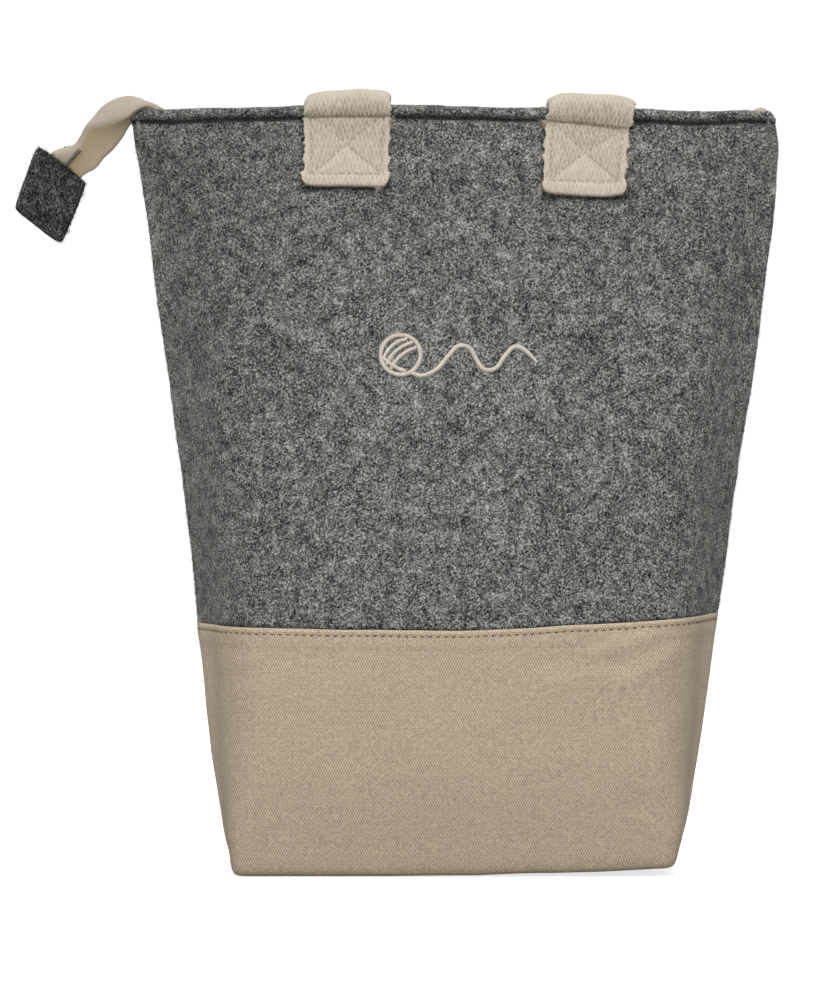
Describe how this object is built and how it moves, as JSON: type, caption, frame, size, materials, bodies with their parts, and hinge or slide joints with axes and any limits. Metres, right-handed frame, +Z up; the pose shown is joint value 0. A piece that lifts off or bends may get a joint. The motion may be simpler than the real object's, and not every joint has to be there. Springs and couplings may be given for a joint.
{
  "type": "knitting bag",
  "caption": "Tall slim felt knitting tote with a boxed canvas foot, webbing shoulder handles folded back over the rim and a zip top ending in a tabbed tail.",
  "frame": {"origin": "centre of the base, on the ground", "axes": "+X to the right across the width, -Y out of the front face, +Z up"},
  "size_m": [0.4351, 0.1477, 0.4438],
  "materials": {
    "grey_felt": "matt mottled wool felt",
    "beige_canvas": "plain-weave cotton canvas",
    "cream_webbing": "heavy ribbed cotton webbing",
    "dark_thread": "polyester sewing thread",
    "tan_thread": "polyester sewing thread",
    "cream_thread": "satin sewing and embroidery thread",
    "zip_tape": "woven polyester tape",
    "zip_coil": "spiral nylon coil",
    "zip_metal": "satin nickel",
    "dark_felt": "matt charcoal wool felt"
  },
  "bodies": {
    "bag_body": {"back_canvas_stitches": "tan_thread", "back_felt_panel": "grey_felt", "back_handle_box_stitches": "cream_thread", "back_handle_end_left": "cream_webbing", "back_handle_end_right": "cream_webbing", "back_handle_fold": "cream_webbing", "back_hem_stitches": "dark_thread", "back_zip_coil": "zip_coil", "back_zip_tape": "zip_tape", "canvas_foot": "beige_canvas", "embroidered_motif": "cream_thread", "front_canvas_stitches": "tan_thread", "front_felt_panel": "grey_felt", "front_handle_box_stitches": "cream_thread", "front_handle_end_left": "cream_webbing", "front_handle_end_right": "cream_webbing", "front_handle_front_bend": "cream_webbing", "front_hem_stitches": "dark_thread", "front_zip_coil": "zip_coil", "front_zip_tape": "zip_tape", "zip_tail_root": "zip_tape", "zip_tape_end": "zip_tape", "zip_top_stops": "zip_metal"},
    "front_handle_top": {"front_handle_bridge": "cream_webbing", "front_handle_rear_bend": "cream_webbing"},
    "front_handle": {"front_handle_loop": "cream_webbing"},
    "back_handle": {"back_handle_loop": "cream_webbing"},
    "slider": {"zip_slider_top": "zip_metal", "zip_slider_bottom": "zip_metal"},
    "pull": {"zip_pull": "zip_metal"},
    "tail": {"zip_tail_tape": "zip_tape", "zip_bottom_stop": "zip_metal", "zip_tail_felt_tab": "dark_felt", "zip_tail_tab_stitches": "dark_thread"}
  },
  "joints": [
    {"name": "front_handle_lift", "type": "hinge", "parent": "bag_body", "child": "front_handle_top", "pos_m": [0.0069, -0.01231, 0.44046], "axis": [1, 0, 0], "range_deg": [0, 86], "deforming": ["front_handle_front_bend"]},
    {"name": "front_handle_unfold", "type": "hinge", "parent": "front_handle_top", "child": "front_handle", "pos_m": [0.0069, 0.02421, 0.44161], "axis": [1, 0, 0], "range_deg": [0, 86], "deforming": ["front_handle_rear_bend"]},
    {"name": "back_handle_lift", "type": "hinge", "parent": "bag_body", "child": "back_handle", "pos_m": [0.0069, 0.01745, 0.4382], "axis": [1, 0, 0], "range_deg": [0, 172], "deforming": ["back_handle_fold"]},
    {"name": "zip_slider_travel", "type": "slide", "parent": "bag_body", "child": "slider", "axis": [-1, 0, 0], "range_m": [0, 0.255]},
    {"name": "zip_pull_swing", "type": "hinge", "parent": "slider", "child": "pull", "pos_m": [0.138, 0, 0.4319], "axis": [0, 1, 0], "range_deg": [0, 110]},
    {"name": "zip_tail_swing", "type": "hinge", "parent": "bag_body", "child": "tail", "pos_m": [-0.18, 0, 0.437], "axis": [0, 1, 0], "range_deg": [-20, 75]}
  ],
  "couplings": [
    {"joint": "front_handle_unfold", "follows": "front_handle_lift", "ratio": 1},
    {"joint": "back_handle_lift", "follows": "front_handle_lift", "ratio": 2}
  ]
}
